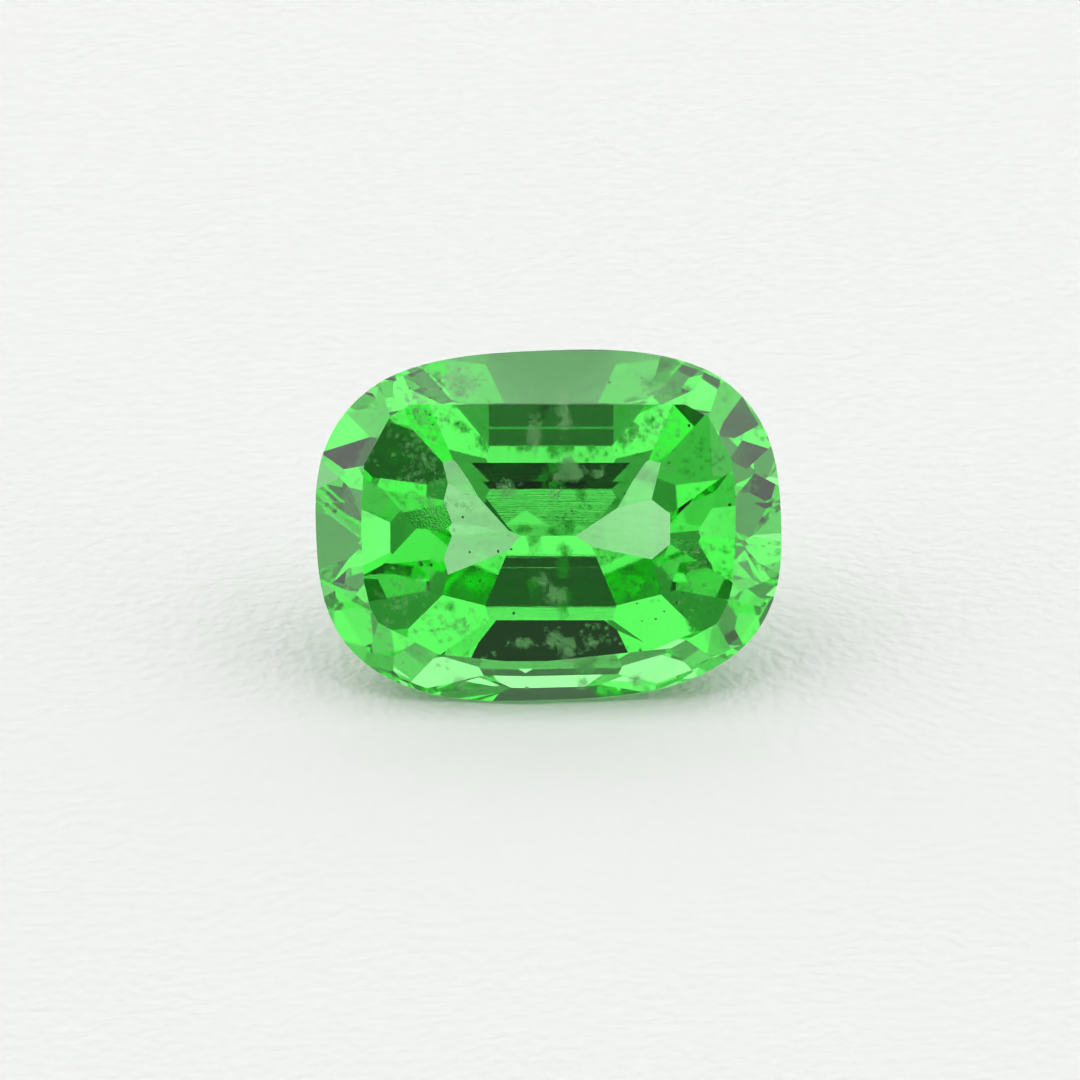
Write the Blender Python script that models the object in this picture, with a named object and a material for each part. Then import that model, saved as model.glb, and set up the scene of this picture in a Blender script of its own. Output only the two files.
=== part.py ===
"""Cushion cut tsavorite garnet, lying as a loose stone lies: on a lower facet, table towards -Y.

The stone is cut as a cutter cuts it. The rough is a slab with the cushion outline, and every
facet is one flat cut. A cut is given by the compass direction that the facet faces, its angle
from the girdle plane and its distance from the middle of the stone. No cut runs over the girdle:
where its distance is too short for that, the facet meets the girdle's edge instead.
Cutting frame: +X along the keel, +Z out of the table, z = 0 about the middle of the girdle.
"""
import math

import bmesh
import bpy
from mathutils import Matrix, Vector

MM = 0.001

# Driving dimensions
LENGTH = 8.5 * MM
WIDTH = 6.42 * MM
TABLE_HEIGHT = 0.75 * MM
GIRDLE_HEIGHT = -0.095 * MM
GIRDLE_DIP = 0.125 * MM
GIRDLE_HALF_THICKNESS = 0.05 * MM
ROUGH_DEPTH = 4.5 * MM
ROUGH_HEIGHT = 1.5 * MM
OUTLINE_POWER = 2.8
OUTLINE_TURN_DEG = 2.4
OUTLINE_POINTS = 96

# The outer south facet of the pavilion is the one that the stone lies on.
REST_ANGLE_DEG = 57.0

# The cutting diagram. Angles are from the girdle plane, distances are of the facet's plane from
# the middle of the stone, in millimetres.
# North and south of the keel: direction, angle, distance.
KEEL_CUTS = (
    (90, 40.0, 2.69),
    (90, 41.5, 2.66),
    (90, 48.0, 2.56),
    (270, 37.5, 2.90),
    (270, REST_ANGLE_DEG, 2.70),
)
# Round both ends, the same to the north and to the south: direction counted from the end, angle,
# distance.
WEST_CUTS = (
    (56, 36.0, 3.15),
    (62, 45.5, 3.08),
    (64, 60.5, 3.33),
    (36, 32.0, 3.29),
    (27, 46.0, 3.29),
    (43, 50.0, 3.37),
    (12, 44.5, 3.33),
    (0, 28.5, 3.43),
    (0, 50.0, 3.36),
)
EAST_CUTS = (
    (56, 36.0, 3.18),
    (62, 45.5, 3.11),
    (64, 60.5, 3.23),
    (27, 46.0, 3.36),
    (29, 57.5, 3.67),
    (0, 28.5, 3.39),
    (0, 51.0, 3.40),
)
# The crown's facets that stand at one direction: direction, angle, distance.
CROWN_CUTS = (
    (90, 40.5, 1.97),
    (270, 36.5, 2.11),
    (264, 42.5, 2.25),
    (276, 42.5, 2.25),
    (0, 35.0, 2.57),
    (180, 35.0, 2.57),
)
# The crown's corners, the same in all four: direction counted from west or east, angle, distance.
CROWN_CORNER_CUTS = (
    (62, 36.5, 2.43),
    (28, 45.5, 2.99),
    (14, 31.0, 2.46),
    (4, 35.0, 2.58),
)

# Finish
STONE_COLOUR = (0.10, 0.62, 0.14, 1.0)
STONE_ROUGHNESS = 0.05
REFRACTIVE_INDEX = 1.74

CUT_TOLERANCE = 1e-8
WELD_DISTANCE = 2e-6


def outline_point(direction_deg):
    """The girdle edge in a compass direction: a superellipse, turned a little from the keel."""
    angle = math.radians(direction_deg - OUTLINE_TURN_DEG)
    along = abs(math.cos(angle) / (LENGTH / 2)) ** OUTLINE_POWER
    across = abs(math.sin(angle) / (WIDTH / 2)) ** OUTLINE_POWER
    radius = (along + across) ** (-1 / OUTLINE_POWER)
    turned = math.radians(direction_deg)
    return Vector((radius * math.cos(turned), radius * math.sin(turned), 0))


def rough_stone():
    """The slab with the cushion outline that the facets are cut on."""
    mesh = bmesh.new()
    ring = [mesh.verts.new(outline_point(360 * k / OUTLINE_POINTS)) for k in range(OUTLINE_POINTS)]
    base = mesh.faces.new(ring)
    bmesh.ops.translate(mesh, verts=mesh.verts, vec=(0, 0, -ROUGH_DEPTH))
    grown = bmesh.ops.extrude_face_region(mesh, geom=[base])
    top = [v for v in grown["geom"] if isinstance(v, bmesh.types.BMVert)]
    bmesh.ops.translate(mesh, verts=top, vec=(0, 0, ROUGH_DEPTH + ROUGH_HEIGHT))
    bmesh.ops.recalc_face_normals(mesh, faces=mesh.faces)
    return mesh


def girdle_reach(direction_deg):
    """How far the outline reaches in a compass direction."""
    compass = math.radians(direction_deg)
    outward = Vector((math.cos(compass), math.sin(compass), 0))
    return max(outward.dot(outline_point(degree)) for degree in range(360))


def girdle_height(direction_deg):
    """The height of the girdle's middle line, which dips a little towards the north."""
    return GIRDLE_HEIGHT - GIRDLE_DIP * math.sin(math.radians(direction_deg))


def facing(direction_deg, angle_deg, up):
    """The direction that a facet faces; up is 1 on the crown and -1 on the pavilion."""
    compass = math.radians(direction_deg)
    angle = math.radians(angle_deg)
    out = math.sin(angle)
    return Vector((out * math.cos(compass), out * math.sin(compass), up * math.cos(angle)))


def cut_plane(mesh, normal, distance):
    """One flat cut: what lies beyond the plane is ground away, and the cut is closed."""
    everything = mesh.verts[:] + mesh.edges[:] + mesh.faces[:]
    cut = bmesh.ops.bisect_plane(
        mesh,
        geom=everything,
        dist=CUT_TOLERANCE,
        plane_co=normal * distance,
        plane_no=normal,
        clear_outer=True,
    )
    edges = [e for e in cut["geom_cut"] if isinstance(e, bmesh.types.BMEdge)]
    bmesh.ops.contextual_create(mesh, geom=edges)


def cut_facet(mesh, direction_deg, angle_deg, up, distance):
    """One facet of the crown or pavilion, kept off the band of the girdle."""
    edge_height = girdle_height(direction_deg) + up * GIRDLE_HALF_THICKNESS
    angle = math.radians(angle_deg)
    to_edge = math.sin(angle) * girdle_reach(direction_deg) + up * math.cos(angle) * edge_height
    cut_plane(mesh, facing(direction_deg, angle_deg, up), max(distance, to_edge))


def cut_stone():
    """The rough with the table and every facet of the diagram cut on it."""
    mesh = rough_stone()
    cut_plane(mesh, Vector((0, 0, 1)), TABLE_HEIGHT)
    for direction, angle, distance in KEEL_CUTS:
        cut_plane(mesh, facing(direction, angle, -1), distance * MM)
    for end, cuts in ((180, WEST_CUTS), (0, EAST_CUTS)):
        for direction, angle, distance in cuts:
            for side in (1, -1) if direction else (1,):
                cut_facet(mesh, end + side * direction, angle, -1, distance * MM)
    for direction, angle, distance in CROWN_CUTS:
        cut_facet(mesh, direction, angle, 1, distance * MM)
    for direction, angle, distance in CROWN_CORNER_CUTS:
        for corner in (direction, 180 - direction, 180 + direction, -direction):
            cut_facet(mesh, corner, angle, 1, distance * MM)
    bmesh.ops.remove_doubles(mesh, verts=mesh.verts, dist=WELD_DISTANCE)
    bmesh.ops.recalc_face_normals(mesh, faces=mesh.faces)
    return mesh


def lay_down(mesh):
    """Leans the stone on its outer south facet, with the middle of its footprint at the origin."""
    lean = Matrix.Rotation(math.radians(REST_ANGLE_DEG), 3, "X")
    bmesh.ops.rotate(mesh, verts=mesh.verts, cent=(0, 0, 0), matrix=lean)
    xs = [v.co.x for v in mesh.verts]
    ys = [v.co.y for v in mesh.verts]
    low = min(v.co.z for v in mesh.verts)
    middle = Vector(((min(xs) + max(xs)) / 2, (min(ys) + max(ys)) / 2, low))
    bmesh.ops.translate(mesh, verts=mesh.verts, vec=-middle)


def garnet_material():
    """Clear green garnet with a polish."""
    material = bpy.data.materials.new("Tsavorite garnet")
    material.use_nodes = True
    surface = material.node_tree.nodes["Principled BSDF"]
    surface.inputs["Base Color"].default_value = STONE_COLOUR
    surface.inputs["Roughness"].default_value = STONE_ROUGHNESS
    surface.inputs["IOR"].default_value = REFRACTIVE_INDEX
    return material


def main():
    for obj in list(bpy.data.objects):
        bpy.data.objects.remove(obj)
    mesh = cut_stone()
    lay_down(mesh)
    data = bpy.data.meshes.new("stone")
    mesh.to_mesh(data)
    mesh.free()
    data.materials.append(garnet_material())
    stone = bpy.data.objects.new("stone", data)
    bpy.context.scene.collection.objects.link(stone)


main()
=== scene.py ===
"""A cushion cut tsavorite garnet: the polished stone, what grew inside it, and a small white studio."""

import math
import random

import bpy
from mathutils import Matrix, Vector
from mathutils.bvhtree import BVHTree


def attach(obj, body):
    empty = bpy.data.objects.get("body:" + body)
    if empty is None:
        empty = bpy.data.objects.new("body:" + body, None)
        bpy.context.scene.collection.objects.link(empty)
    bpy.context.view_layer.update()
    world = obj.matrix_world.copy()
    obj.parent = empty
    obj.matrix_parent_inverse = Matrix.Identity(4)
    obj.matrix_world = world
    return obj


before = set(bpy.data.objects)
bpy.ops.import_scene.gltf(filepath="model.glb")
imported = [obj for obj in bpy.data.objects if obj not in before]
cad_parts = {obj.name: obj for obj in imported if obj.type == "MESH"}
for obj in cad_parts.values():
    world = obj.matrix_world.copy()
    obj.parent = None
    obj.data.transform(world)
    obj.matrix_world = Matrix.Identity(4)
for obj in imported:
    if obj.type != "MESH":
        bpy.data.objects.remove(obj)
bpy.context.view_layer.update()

bl_info = {
    "name": "Cushion cut tsavorite garnet",
    "version": (1, 0, 0),
    "blender": (4, 5, 0),
    "location": "View3D > Sidebar > Garnet",
    "description": "Finishes a cut stone, grows its inclusions and sets a small studio round it",
    "category": "Object",
}

MM = 0.001

# How the stone lies: it leans on an outer facet of its pavilion, and its table turns to the camera.
REST_ANGLE_DEG = 57.0
TABLE_HEIGHT_MM = 0.75

# What the stone absorbs is its density times what its colour lacks of white. The density is a little
# over the largest loss, so that no channel of the colour is quite black.
DENSITY_HEADROOM = 1.1

# Lap lines run along the keel, and they are some thirty times as long as they are wide. They were
# left near the keel only: from the first of these heights down to the second they grow stronger.
# Heights are over the girdle's middle.
LAP_LINE_STRETCH = 30
LAP_LINE_HEIGHTS_MM = (-1.2, -2.6)
LAP_LINE_DEPTH_MM = 0.001

# Whatever grew in the stone stays this far under its facets.
SKIN_MM = 0.07

# The stone rests on the tips of the paper's grain, so a film of air stays under its facet.
PAPER_GAP_MM = 0.02

# How the camera stands: almost square to the table, a little low.
VIEW_OFF_TABLE_DEG = 3.5
CAMERA_DISTANCE_MM = 250.0
PICTURE_WIDTH_MM = 19.744
SENSOR_WIDTH_MM = 36.0
# The stone's middle stands a little right of and above the picture's middle.
PICTURE_MIDDLE_MM = (-0.155, -0.274)


def linear(hex_colour):
    """An sRGB hex colour as linear red, green, blue and alpha."""
    channels = [int(hex_colour[i:i + 2], 16) / 255 for i in (1, 3, 5)]
    return [c / 12.92 if c <= 0.04045 else ((c + 0.055) / 1.055) ** 2.4 for c in channels] + [1.0]


def add_node(tree, kind, settings=None, links=None):
    """Adds a node, sets its options and sockets, and links other nodes' outputs to its inputs."""
    made = tree.nodes.new(kind)
    for name, value in (settings or {}).items():
        if hasattr(made, name):
            setattr(made, name, value)
        else:
            made.inputs[name].default_value = value
    for name, output in (links or {}).items():
        tree.links.new(output, made.inputs[name])
    return made


def new_material(name):
    """An empty material with its output node."""
    material = bpy.data.materials.new(name)
    material.use_nodes = True
    material.node_tree.nodes.clear()
    output = add_node(material.node_tree, "ShaderNodeOutputMaterial")
    return material, material.node_tree, output


def girdle_middle():
    """Where the middle of the girdle stands, from the cut stone itself, in millimetres."""
    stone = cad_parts["stone"]
    lean = Matrix.Rotation(math.radians(REST_ANGLE_DEG), 3, "X")
    points = [lean.inverted() @ (stone.matrix_world @ v.co) / MM for v in stone.data.vertices]
    middle = [(min(p[axis] for p in points) + max(p[axis] for p in points)) / 2 for axis in (0, 1)]
    return lean @ Vector((*middle, max(p.z for p in points) - TABLE_HEIGHT_MM))


def stone_frame():
    """The matrix from the stone's own axes, millimetres from the girdle's middle, to the row frame."""
    lean = Matrix.Rotation(math.radians(REST_ANGLE_DEG), 4, "X")
    return Matrix.Translation(girdle_middle() * MM) @ lean @ Matrix.Scale(MM, 4)


def deselect_all():
    """Leaves edit mode and selects nothing, so that an operator acts on the next piece alone."""
    if bpy.context.mode != "OBJECT":
        bpy.ops.object.mode_set(mode="OBJECT")
    bpy.ops.object.select_all(action="DESELECT")


def join_pieces(pieces, name, material):
    """Joins copies into one piece whose place is in its mesh."""
    deselect_all()
    for piece in pieces:
        piece.select_set(True)
    bpy.context.view_layer.objects.active = pieces[0]
    bpy.ops.object.join()
    whole = bpy.context.object
    bpy.ops.object.transform_apply(location=True, rotation=True, scale=True)
    whole.name = name
    whole.data.name = name
    whole.data.materials.clear()
    whole.data.materials.append(material)
    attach(whole, "root")
    return whole


def placed_copy(pattern, axes, place, turn, size):
    """A copy of a pattern piece with its own mesh, in the stone's axes and millimetres."""
    copy = pattern.copy()
    copy.data = pattern.data.copy()
    bpy.context.scene.collection.objects.link(copy)
    matrix = Matrix.Translation(Vector(place)) @ turn.to_4x4() @ Matrix.Diagonal((*size, 1.0))
    copy.matrix_world = axes @ matrix
    return copy


def stone_skin(axes):
    """The stone's faces in its own axes and millimetres, to tell what lies inside."""
    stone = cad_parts["stone"]
    to_axes = axes.inverted() @ stone.matrix_world
    points = [to_axes @ v.co for v in stone.data.vertices]
    return BVHTree.FromPolygons(points, [tuple(face.vertices) for face in stone.data.polygons])


def well_inside(skin, place):
    """Whether a place, in the stone's axes, lies deep enough under the stone's facets."""
    near, normal, _, _ = skin.find_nearest(Vector(place))
    return (near - Vector(place)).dot(normal) > SKIN_MM


class StoneSettings(bpy.types.PropertyGroup):
    """The polished garnet itself."""

    refractive_index: bpy.props.FloatProperty(
        name="Refractive index", description="Typical tsavorite", default=1.74, min=1.0, max=3.0)
    depth_of_colour: bpy.props.FloatProperty(
        name="Depth of colour", description="How fast red light fades inside, per millimetre",
        default=0.26, min=0.0)
    green_loss: bpy.props.FloatProperty(
        name="Green loss", description="How fast green light fades inside, per millimetre",
        default=0.03, min=0.0)
    blue_loss: bpy.props.FloatProperty(
        name="Blue loss", description="How fast blue light fades inside, per millimetre",
        default=0.25, min=0.0)
    polish_line_mm: bpy.props.FloatProperty(
        name="Polish line spacing", description="Spacing of the lap's fine lines, in millimetres",
        default=0.035, min=0.001)
    polish_relief: bpy.props.FloatProperty(
        name="Polish relief", description="How deep the lap's lines are near the keel",
        default=0.12, min=0.0, max=1.0)


class InclusionSettings(bpy.types.PropertyGroup):
    """What grew inside the stone."""

    feather_colour: bpy.props.FloatVectorProperty(
        name="Feathers", description="Pale healed cracks", subtype="COLOR", size=4,
        default=linear("#c9f2c4"), min=0.0, max=1.0)
    feather_cover: bpy.props.FloatProperty(
        name="Feather cover", description="How much light one flake of a feather stops",
        default=0.11, min=0.0, max=1.0, subtype="FACTOR")
    flake_mm: bpy.props.FloatProperty(
        name="Flake", description="Typical width of one flake, in millimetres", default=0.075, min=0.01)
    speck_mm: bpy.props.FloatProperty(
        name="Speck", description="Typical width of a dark crystal, in millimetres",
        default=0.035, min=0.01)
    seed: bpy.props.IntProperty(
        name="Seed", description="Another seed scatters the flakes another way", default=7)


class StageSettings(bpy.types.PropertyGroup):
    """The paper and the light tent."""

    paper_colour: bpy.props.FloatVectorProperty(
        name="Paper", description="White paper under the stone", subtype="COLOR", size=4,
        default=linear("#e2e3e1"), min=0.0, max=1.0)
    tent_strength: bpy.props.FloatProperty(
        name="Tent", description="Brightness of the white tent all round", default=1.5, min=0.0)
    grain_mm: bpy.props.FloatProperty(
        name="Paper grain", description="Width of the paper's grain, in millimetres",
        default=0.22, min=0.01)


def tsavorite_material(settings):
    """Natural tsavorite garnet, cut and polished: clear green, bright reflections, fine lap lines."""
    material, tree, output = new_material("Polished tsavorite garnet")
    per_metre = 1.0 / MM
    losses = [settings.depth_of_colour, settings.green_loss, settings.blue_loss]
    density = DENSITY_HEADROOM * max(losses)
    colour = [1.0 - loss / density for loss in losses] + [1.0]
    place = add_node(tree, "ShaderNodeTexCoord")
    cutting_frame = add_node(tree, "ShaderNodeMapping", {
        "vector_type": "TEXTURE",
        "Location": girdle_middle() * MM,
        "Rotation": (math.radians(REST_ANGLE_DEG), 0.0, 0.0),
    }, {"Vector": place.outputs["Object"]})
    # Real lap lines are finer still. These are as coarse as they need to be to show in the picture.
    spacing = settings.polish_line_mm * MM
    stretched = add_node(tree, "ShaderNodeMapping", {
        "Scale": (1 / (LAP_LINE_STRETCH * spacing), 1 / spacing, 1 / spacing),
    }, {"Vector": cutting_frame.outputs["Vector"]})
    lines = add_node(tree, "ShaderNodeTexNoise", {
        "Scale": 1.0, "Detail": 3.0, "Roughness": 0.7,
    }, {"Vector": stretched.outputs["Vector"]})
    split = add_node(tree, "ShaderNodeSeparateXYZ", None, {"Vector": cutting_frame.outputs["Vector"]})
    first_height, last_height = LAP_LINE_HEIGHTS_MM
    near_keel = add_node(tree, "ShaderNodeMapRange", {
        "From Min": first_height * MM, "From Max": last_height * MM,
        "To Min": 0.0, "To Max": settings.polish_relief,
    }, {"Value": split.outputs["Z"]})
    relief = add_node(tree, "ShaderNodeBump", {
        "Distance": LAP_LINE_DEPTH_MM * MM,
    }, {"Height": lines.outputs["Fac"], "Strength": near_keel.outputs["Result"]})
    surface = add_node(tree, "ShaderNodeBsdfPrincipled", {
        "Base Color": (1.0, 1.0, 1.0, 1.0),
        "Roughness": 0.0,
        "Transmission Weight": 1.0,
        "IOR": settings.refractive_index,
    }, {"Normal": relief.outputs["Normal"]})
    body = add_node(tree, "ShaderNodeVolumeAbsorption", {
        "Color": colour,
        "Density": density * per_metre,
    })
    tree.links.new(surface.outputs["BSDF"], output.inputs["Surface"])
    tree.links.new(body.outputs["Volume"], output.inputs["Volume"])
    return material


def paper_material(settings):
    """Uncoated white paper: matt, with a fine soft grain."""
    material, tree, output = new_material("Uncoated white paper")
    place = add_node(tree, "ShaderNodeTexCoord")
    grain = add_node(tree, "ShaderNodeTexNoise", {
        "Scale": 1.0 / (settings.grain_mm * MM), "Detail": 1.0, "Roughness": 0.5,
    }, {"Vector": place.outputs["Object"]})
    relief = add_node(tree, "ShaderNodeBump", {
        "Strength": 0.6, "Distance": 0.1 * MM,
    }, {"Height": grain.outputs["Fac"]})
    surface = add_node(tree, "ShaderNodeBsdfPrincipled", {
        "Base Color": settings.paper_colour, "Roughness": 0.9, "Specular IOR Level": 0.1,
    }, {"Normal": relief.outputs["Normal"]})
    tree.links.new(surface.outputs["BSDF"], output.inputs["Surface"])
    return material


def painted_shade_material():
    """A matt black sheet of painted shade under the stone, seen only through the stone."""
    material, tree, output = new_material("Painted shade sheet")
    surface = add_node(tree, "ShaderNodeBsdfPrincipled", {
        "Base Color": linear("#1c1e1c"), "Roughness": 0.8,
    })
    tree.links.new(surface.outputs["BSDF"], output.inputs["Surface"])
    return material


class GARNET_OT_polish(bpy.types.Operator):
    """Gives the cut stone its polished garnet"""

    bl_idname = "garnet.polish"
    bl_label = "Polish the stone"

    def execute(self, context):
        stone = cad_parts["stone"]
        stone.data.materials.clear()
        stone.data.materials.append(tsavorite_material(context.scene.garnet_stone))
        return {"FINISHED"}


# Pale feathers under the table: place along and across the stone, depth below the table,
# half length, half width and number of flakes. Places and sizes are in millimetres.
FEATHERS = (
    (-0.27, 1.60, 0.35, 0.10, 0.26, 108),
    (0.30, 1.95, 0.45, 0.07, 0.34, 108),
    (0.36, 1.10, 0.40, 0.12, 0.14, 108),
    (0.50, 0.92, 0.40, 0.16, 0.14, 108),
    (0.20, 0.88, 0.40, 0.07, 0.09, 43),
    (0.92, 0.92, 0.50, 0.06, 0.10, 29),
    (-0.75, 0.62, 0.45, 0.16, 0.10, 65),
    (0.15, -1.32, 0.40, 0.17, 0.13, 108),
    (-0.10, -1.05, 0.40, 0.07, 0.06, 29),
    (0.12, -2.13, 0.40, 0.14, 0.10, 72),
    (0.36, -2.24, 0.40, 0.10, 0.15, 90),
    (0.80, -2.20, 0.40, 0.07, 0.07, 25),
    (-0.48, -2.20, 0.45, 0.20, 0.03, 43),
    (0.10, 0.55, 0.50, 0.12, 0.05, 29),
    (-1.58, -2.82, 0.80, 0.03, 0.18, 43),
    (0.61, -2.78, 0.75, 0.03, 0.16, 43),
    (1.58, -2.72, 0.75, 0.04, 0.16, 43),
)
# How far down a feather's flakes reach.
FEATHER_THICKNESS_MM = 0.15
# A round healed crack in the west end: its middle in the stone's axes and its measures, millimetres.
ROUND_FEATHER = (-3.25, 0.44, -0.20)
ROUND_FEATHER_RADIUS = 0.33
ROUND_FEATHER_THICKNESS = 0.02
ROUND_FEATHER_UNEVENNESS = 0.02
ROUND_FEATHER_SIDES = 28
# Crumbly veils, mostly in the west end, given in the same way.
VEILS = (
    (-1.60, 2.50, 0.50, 0.50, 0.35, 468),
    (-2.30, 1.90, 0.80, 0.60, 0.60, 396),
    (-2.50, 0.90, 0.90, 0.70, 0.70, 360),
    (-1.90, 0.40, 0.90, 0.60, 0.50, 162),
    (-1.70, -1.90, 0.70, 0.60, 0.40, 270),
    (-2.60, -1.40, 0.80, 0.60, 0.60, 270),
    (1.90, 1.80, 0.70, 0.60, 0.60, 288),
    (2.60, -0.80, 0.80, 0.50, 0.80, 216),
    (0.60, -1.90, 0.80, 0.90, 0.60, 108),
)
# How far down a veil's flakes reach.
VEIL_THICKNESS_MM = 0.8
# How wide a veil's flake is beside a feather's, and how many stand together in one crumb.
VEIL_FLAKE = 0.7
CRUMB_FLAKES = 6
# Dark crystals: where they gather, how far they spread and how many there are.
SPECKS = (
    (-2.20, 2.20, 0.50, 0.90, 0.60, 16),
    (0.20, -1.70, 0.60, 1.20, 0.80, 14),
    (0.30, 1.00, 0.60, 1.30, 1.00, 14),
    (-1.20, -0.60, 0.70, 0.70, 0.60, 12),
    (2.20, -1.40, 0.70, 0.70, 0.60, 10),
)
# How far down they reach.
SPECKS_THICKNESS_MM = 0.8
# The dark crystals are scattered by a seed of their own, this far from the flakes' seed.
SPECK_SEED_STEP = 100

# A cloud's flakes gather towards its middle: how far most of them stray, as a part of its half size.
CLOUD_SPREAD = 0.5
# Least and greatest: width of a crumb and of a flake beside the typical flake, and a flake's length
# beside its width.
CRUMB_WIDTHS = (0.5, 2.0)
FLAKE_WIDTHS = (0.45, 1.6)
FLAKE_STRETCH = (0.6, 1.4)
# How far most flakes lean out of the level of the table, in radians.
FLAKE_LEAN = 0.5

# The patterns are a unit wide: how ragged and thick a flake is, and how uneven a crystal's faces are.
FLAKE_PATTERNS = 5
FLAKE_SIDES = 8
FLAKE_RAGGEDNESS = 0.16
FLAKE_THICKNESS = 0.12
CRYSTAL_PATTERNS = 3
CRYSTAL_UNEVENNESS = 0.12


def feather_material(settings):
    """Healed cracks filled with tiny bubbles: pale, soft and half clear."""
    material, tree, output = new_material("Healed feather")
    surface = add_node(tree, "ShaderNodeBsdfPrincipled", {
        "Base Color": settings.feather_colour,
        "Roughness": 0.6,
        "Specular IOR Level": 0.1,
        "Alpha": settings.feather_cover,
    })
    tree.links.new(surface.outputs["BSDF"], output.inputs["Surface"])
    return material


def speck_material():
    """Graphite grains: small, dark and dull."""
    material, tree, output = new_material("Graphite grain")
    surface = add_node(tree, "ShaderNodeBsdfPrincipled", {
        "Base Color": linear("#161b14"), "Roughness": 0.5,
    })
    tree.links.new(surface.outputs["BSDF"], output.inputs["Surface"])
    return material


def flake_pattern(seed):
    """One ragged flake, a unit wide: a round sheet with a torn edge and a little thickness."""
    deselect_all()
    bpy.ops.mesh.primitive_circle_add(vertices=FLAKE_SIDES, radius=0.5, fill_type="TRIFAN")
    flake = bpy.context.object
    bpy.ops.object.mode_set(mode="EDIT")
    bpy.ops.mesh.select_all(action="SELECT")
    bpy.ops.transform.vertex_random(offset=FLAKE_RAGGEDNESS, uniform=1.0, normal=0.0, seed=seed)
    bpy.ops.object.mode_set(mode="OBJECT")
    thickness = flake.modifiers.new("Thickness", "SOLIDIFY")
    thickness.thickness = FLAKE_THICKNESS
    bpy.ops.object.modifier_apply(modifier=thickness.name)
    return flake


def crystal_pattern(seed):
    """One small dark crystal, a unit wide, with uneven faces."""
    deselect_all()
    bpy.ops.mesh.primitive_ico_sphere_add(subdivisions=1, radius=0.5)
    crystal = bpy.context.object
    bpy.ops.object.mode_set(mode="EDIT")
    bpy.ops.mesh.select_all(action="SELECT")
    bpy.ops.transform.vertex_random(offset=CRYSTAL_UNEVENNESS, uniform=1.0, normal=0.0, seed=seed)
    bpy.ops.object.mode_set(mode="OBJECT")
    return crystal


def scattered(groups, patterns, width, chance, thickness, crumb_flakes=1):
    """Copies of the patterns in crumbly clouds, one cloud for each line of the groups."""
    copies = []
    axes = stone_frame()
    skin = stone_skin(axes)
    for along, across, depth, half_length, half_width, count in groups:
        for number in range(count):
            if number % crumb_flakes == 0:
                crumb = (
                    along + half_length * chance.gauss(0, CLOUD_SPREAD),
                    across + half_width * chance.gauss(0, CLOUD_SPREAD),
                    TABLE_HEIGHT_MM - depth - thickness * abs(chance.gauss(0, CLOUD_SPREAD)),
                )
                crumb_width = width * chance.uniform(*CRUMB_WIDTHS)
            place = [middle + crumb_width * chance.gauss(0, CLOUD_SPREAD) for middle in crumb]
            turn = Matrix.Rotation(chance.uniform(0, math.tau), 3, "Z")
            turn = turn @ Matrix.Rotation(chance.gauss(0, FLAKE_LEAN), 3, "X")
            size = width * chance.uniform(*FLAKE_WIDTHS)
            stretch = chance.uniform(*FLAKE_STRETCH)
            pattern = chance.choice(patterns)
            if well_inside(skin, place):
                copies.append(placed_copy(pattern, axes, place, turn, (size * stretch, size, size)))
    return copies


def remove_patterns(patterns):
    """The patterns have served once their copies are joined."""
    for pattern in patterns:
        bpy.data.objects.remove(pattern)


def round_feather():
    """One round sheet with an uneven rim, laid level with the table."""
    deselect_all()
    bpy.ops.mesh.primitive_circle_add(
        vertices=ROUND_FEATHER_SIDES, radius=ROUND_FEATHER_RADIUS, fill_type="TRIFAN")
    sheet = bpy.context.object
    bpy.ops.object.mode_set(mode="EDIT")
    bpy.ops.mesh.select_all(action="SELECT")
    bpy.ops.transform.vertex_random(offset=ROUND_FEATHER_UNEVENNESS, uniform=1.0, normal=0.0, seed=3)
    bpy.ops.object.mode_set(mode="OBJECT")
    thickness = sheet.modifiers.new("Thickness", "SOLIDIFY")
    thickness.thickness = ROUND_FEATHER_THICKNESS
    bpy.ops.object.modifier_apply(modifier=thickness.name)
    return sheet


class GARNET_OT_feathers(bpy.types.Operator):
    """Grows the pale feathers and crumbly veils"""

    bl_idname = "garnet.feathers"
    bl_label = "Grow the feathers"

    def execute(self, context):
        settings = context.scene.garnet_inclusions
        material = feather_material(settings)
        chance = random.Random(settings.seed)
        patterns = [flake_pattern(settings.seed + k) for k in range(FLAKE_PATTERNS)]
        flakes = scattered(FEATHERS, patterns, settings.flake_mm, chance, FEATHER_THICKNESS_MM)
        join_pieces(flakes, "pale_feathers", material)
        veil_flake_mm = VEIL_FLAKE * settings.flake_mm
        flakes = scattered(VEILS, patterns, veil_flake_mm, chance, VEIL_THICKNESS_MM, CRUMB_FLAKES)
        join_pieces(flakes, "crumbly_veils", material)
        sheet = round_feather()
        level = Matrix.Identity(3)
        copy = placed_copy(sheet, stone_frame(), ROUND_FEATHER, level, (1, 1, 1))
        join_pieces([copy], "round_feather", material)
        patterns.append(sheet)
        remove_patterns(patterns)
        return {"FINISHED"}


class GARNET_OT_specks(bpy.types.Operator):
    """Grows the small dark crystals"""

    bl_idname = "garnet.specks"
    bl_label = "Grow the dark crystals"

    def execute(self, context):
        settings = context.scene.garnet_inclusions
        chance = random.Random(settings.seed + SPECK_SEED_STEP)
        patterns = [crystal_pattern(settings.seed + k) for k in range(CRYSTAL_PATTERNS)]
        crystals = scattered(SPECKS, patterns, settings.speck_mm, chance, SPECKS_THICKNESS_MM)
        join_pieces(crystals, "dark_crystals", speck_material())
        remove_patterns(patterns)
        return {"FINISHED"}


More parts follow.
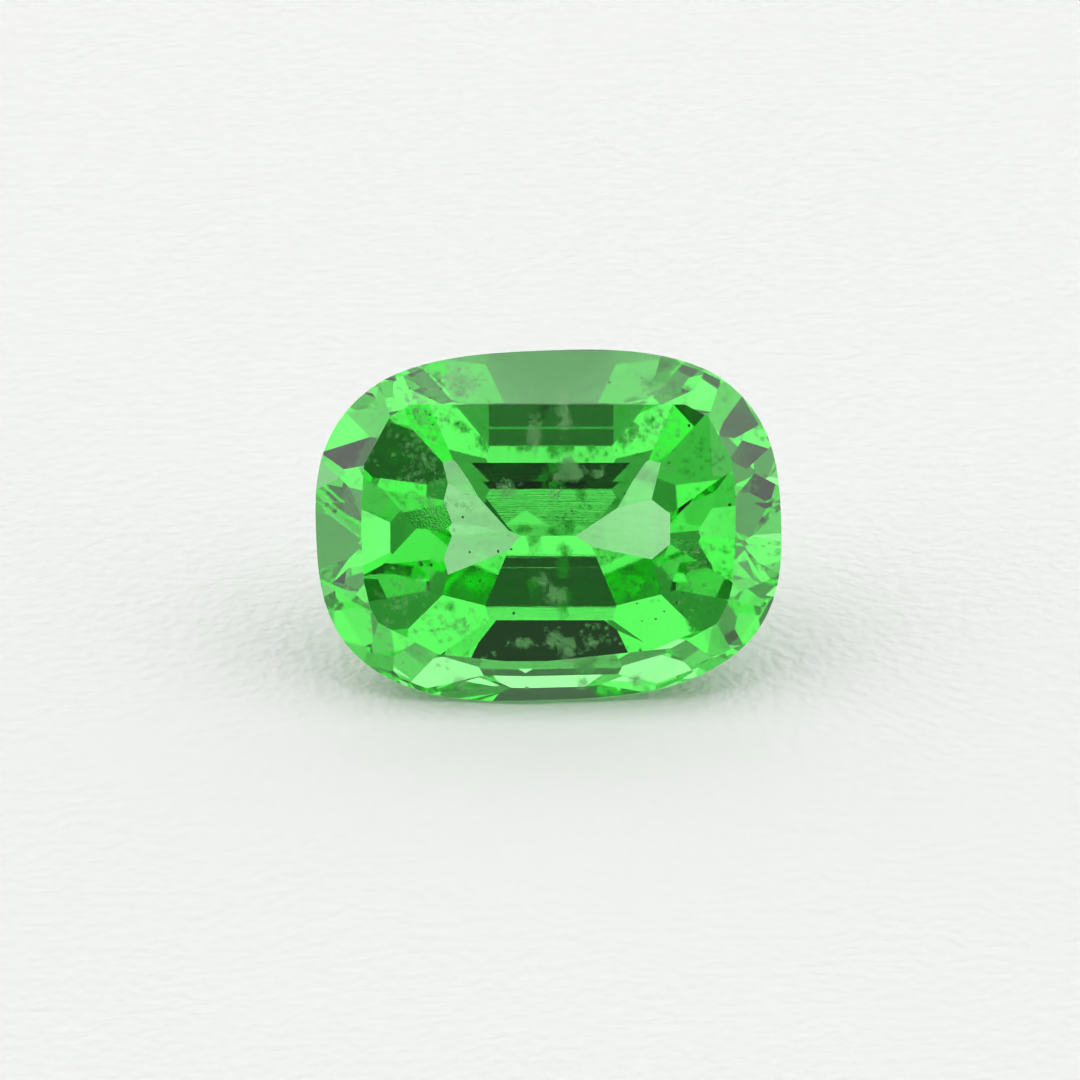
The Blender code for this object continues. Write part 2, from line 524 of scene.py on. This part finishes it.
# What the stone sees beside the white tent: name, colour next to the tent's white, distance in
# metres, compass direction, lowest and highest elevation, and width. South is the camera's side.
# Angles are in degrees.
CARDS = (
    ("open_tent_front", "#888a88", 1.10, 270, 3, 50, 100),
    ("table_edge", "#0c0c0c", 1.00, 270, 3, 10, 44),
    ("pale_focus_rail", "#e7e9e7", 1.00, 270, 10, 18, 44),
    ("lens", "#363836", 1.00, 270, 18, 30, 44),
    ("camera_front", "#505250", 1.00, 270, 30, 39, 16),
    ("white_label", "#b4b6b4", 0.98, 275.5, 37, 39, 7),
    ("white_strap", "#b4b6b4", 1.00, 270, 39, 41, 44),
    ("camera_top", "#454745", 1.00, 270, 41, 50, 44),
    ("camera_arm", "#161816", 1.00, 270, 50, 61, 44),
    ("dark_doorway", "#505250", 1.00, 90, 10, 20, 60),
    ("tent_beam", "#343634", 1.00, 90, 50, 60, 60),
)
# Painted shade: black strips between the stone and the paper, laid where the paper lies in the stone's
# deep shade, so that the facets that look down on it are darker: the south and north edge of each
# strip.
PAINTED_SHADE_STRIPS_MM = ((-0.45, 0.14), (0.21, 0.54))
PAINTED_SHADE_LENGTH_MM = 2.3
PAINTED_SHADE_MIDDLE_MM = 0.05
# The sheet of paper is this wide, in metres, so that its edge is never in the picture.
PAPER_WIDTH = 2.4

# Light is thrown to and fro inside the stone many times before it leaves, and it passes many flakes.
# Indirect light is kept under a limit, so that single bright paths leave no dots.
BOUNCES_INSIDE = 24
FLAKES_PASSED = 64
BRIGHTEST_INDIRECT = 3.0


class GARNET_OT_stage(bpy.types.Operator):
    """Lays the paper, hangs the light tent and stands the camera"""

    bl_idname = "garnet.stage"
    bl_label = "Set the studio"

    def execute(self, context):
        settings = context.scene.garnet_stage
        self.lay_paper(context, settings)
        # Black strips of painted shade go under the stone.
        self.lay_painted_shade(context)
        self.hang_tent(context, settings)
        self.stand_camera(context)
        self.set_light_paths(context.scene)
        return {"FINISHED"}

    def lay_paper(self, context, settings):
        """Lays the paper just under the stone."""
        deselect_all()
        bpy.ops.mesh.primitive_plane_add(size=PAPER_WIDTH, location=(0, 0, -PAPER_GAP_MM * MM))
        paper = context.object
        paper.name = "paper"
        bpy.ops.object.transform_apply(location=True)
        paper.data.materials.append(paper_material(settings))

    def lay_painted_shade(self, context):
        """Lays the strips of painted shade, black sheets between the paper and the stone."""
        # The black strips laid here are painted shade: they stand for the deep shade under the stone's
        # resting facet.
        shade_sheet = painted_shade_material()
        for number, (south, north) in enumerate(PAINTED_SHADE_STRIPS_MM):
            middle = (PAINTED_SHADE_MIDDLE_MM * MM, (south + north) / 2 * MM, -PAPER_GAP_MM / 2 * MM)
            bpy.ops.mesh.primitive_plane_add(size=1.0, location=middle)
            strip = context.object
            strip.name = "painted_shade_strip_%d" % number
            strip.scale = (PAINTED_SHADE_LENGTH_MM * MM, (north - south) * MM, 1.0)
            bpy.ops.object.transform_apply(location=True, rotation=True, scale=True)
            strip.data.materials.append(shade_sheet)

    def hang_tent(self, context, settings):
        """Hangs the white tent all round, and the darker cards that the stone sees in it."""
        world = bpy.data.worlds.new("White tent")
        world.use_nodes = True
        world.node_tree.nodes["Background"].inputs["Color"].default_value = (1, 1, 1, 1)
        world.node_tree.nodes["Background"].inputs["Strength"].default_value = settings.tent_strength
        context.scene.world = world

        for name, colour, distance, compass, lowest, highest, width in CARDS:
            light = [settings.tent_strength * value for value in linear(colour)]
            self.hang_card(name, light, distance, compass, lowest, highest, width)

    def set_light_paths(self, scene):
        """Lets light pass through the stone to the end, and keeps the picture's colours as they are."""
        scene.view_settings.view_transform = "Standard"
        scene.cycles.max_bounces = BOUNCES_INSIDE
        scene.cycles.transmission_bounces = BOUNCES_INSIDE
        scene.cycles.glossy_bounces = BOUNCES_INSIDE
        scene.cycles.transparent_max_bounces = FLAKES_PASSED
        scene.cycles.sample_clamp_indirect = BRIGHTEST_INDIRECT
        # From the colour alone: with the other passes the denoiser draws dots on the crown.
        scene.cycles.denoising_input_passes = "RGB"

    def hang_card(self, name, light, distance, compass_deg, lowest_deg, highest_deg, width_deg):
        """Hangs a card round the stone, given by where and how wide the stone sees it."""
        material, tree, output = new_material(name.replace("_", " "))
        felt = add_node(tree, "ShaderNodeEmission", {"Color": light, "Strength": 1.0})
        tree.links.new(felt.outputs["Emission"], output.inputs["Surface"])
        deselect_all()
        bpy.ops.mesh.primitive_plane_add(size=1.0, location=(0, 0, 0))
        card = bpy.context.object
        card.name = name
        elevation = math.radians((lowest_deg + highest_deg) / 2)
        compass = math.radians(compass_deg)
        out = math.cos(elevation)
        towards = Vector((out * math.cos(compass), out * math.sin(compass), math.sin(elevation)))
        card.location = distance * towards
        card.rotation_euler = (math.pi / 2 - elevation, 0, compass + math.pi / 2)
        width = 2 * distance * math.tan(math.radians(width_deg / 2))
        height = 2 * distance * math.tan(math.radians((highest_deg - lowest_deg) / 2))
        card.scale = (width, height, 1)
        bpy.ops.object.transform_apply(location=True, rotation=True, scale=True)
        card.data.materials.append(material)
        card.visible_camera = False

    def stand_camera(self, context):
        """Stands the camera at the photograph's angle, with the stone a little above the middle."""
        elevation = math.radians(90 - REST_ANGLE_DEG - VIEW_OFF_TABLE_DEG)
        back = Vector((0, -math.cos(elevation), math.sin(elevation)))
        right = Vector((1, 0, 0))
        up = back.cross(right)
        target = girdle_middle() + right * PICTURE_MIDDLE_MM[0] + up * PICTURE_MIDDLE_MM[1]
        data = bpy.data.cameras.new("Camera")
        data.sensor_width = SENSOR_WIDTH_MM
        data.lens = SENSOR_WIDTH_MM * CAMERA_DISTANCE_MM / PICTURE_WIDTH_MM
        data.clip_start = 0.01
        data.clip_end = 5.0
        camera = bpy.data.objects.new("Camera", data)
        context.scene.collection.objects.link(camera)
        camera.location = (target + back * CAMERA_DISTANCE_MM) * MM
        camera.rotation_mode = "QUATERNION"
        camera.rotation_quaternion = (-back).to_track_quat("-Z", "Y")
        context.scene.camera = camera


class GARNET_PT_panel(bpy.types.Panel):
    """Lists the stone's settings and the steps that make it"""

    bl_label = "Cushion cut garnet"
    bl_idname = "GARNET_PT_panel"
    bl_space_type = "VIEW_3D"
    bl_region_type = "UI"
    bl_category = "Garnet"

    def draw(self, context):
        scene = context.scene
        for group in (scene.garnet_stone, scene.garnet_inclusions, scene.garnet_stage):
            for name in group.__annotations__:
                self.layout.prop(group, name)
        for step in STEPS:
            self.layout.operator(step.bl_idname)


STEPS = (GARNET_OT_polish, GARNET_OT_feathers, GARNET_OT_specks, GARNET_OT_stage)
CLASSES = (StoneSettings, InclusionSettings, StageSettings, *STEPS, GARNET_PT_panel)


def register():
    for each in CLASSES:
        bpy.utils.register_class(each)
    bpy.types.Scene.garnet_stone = bpy.props.PointerProperty(type=StoneSettings)
    bpy.types.Scene.garnet_inclusions = bpy.props.PointerProperty(type=InclusionSettings)
    bpy.types.Scene.garnet_stage = bpy.props.PointerProperty(type=StageSettings)


def unregister():
    del bpy.types.Scene.garnet_stage
    del bpy.types.Scene.garnet_inclusions
    del bpy.types.Scene.garnet_stone
    for each in reversed(CLASSES):
        bpy.utils.unregister_class(each)


def main():
    register()
    bpy.ops.garnet.polish()
    bpy.ops.garnet.feathers()
    bpy.ops.garnet.specks()
    bpy.ops.garnet.stage()


if __name__ == "__main__":
    main()
